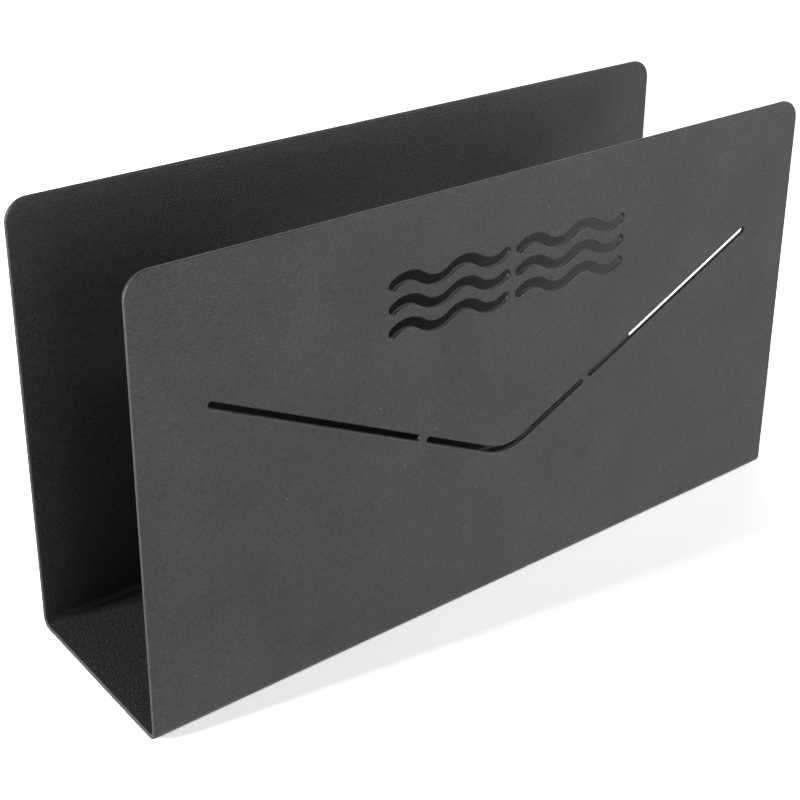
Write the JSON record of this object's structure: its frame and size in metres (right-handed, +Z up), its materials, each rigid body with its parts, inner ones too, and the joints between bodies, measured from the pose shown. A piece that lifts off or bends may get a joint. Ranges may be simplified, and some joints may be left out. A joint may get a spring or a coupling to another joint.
{
  "type": "letter rack",
  "caption": "Desk letter rack folded from sheet steel, open at the top and ends, with an envelope-flap line and wavy lines cut through its front plate.",
  "frame": {"origin": "on the surface that the rack stands on, under the middle of its length and depth", "axes": "+X along the rack, +Y from the front plate with the cut-outs to the back plate, +Z up"},
  "size_m": [0.25, 0.0676, 0.1373],
  "materials": {
    "coated_steel": "fine-texture matt black powder coat",
    "pad_rubber": "matt"
  },
  "bodies": {
    "root": {"folded_sheet": "coated_steel", "pad_front_left": "pad_rubber", "pad_front_right": "pad_rubber", "pad_back_left": "pad_rubber", "pad_back_right": "pad_rubber"}
  },
  "joints": []
}
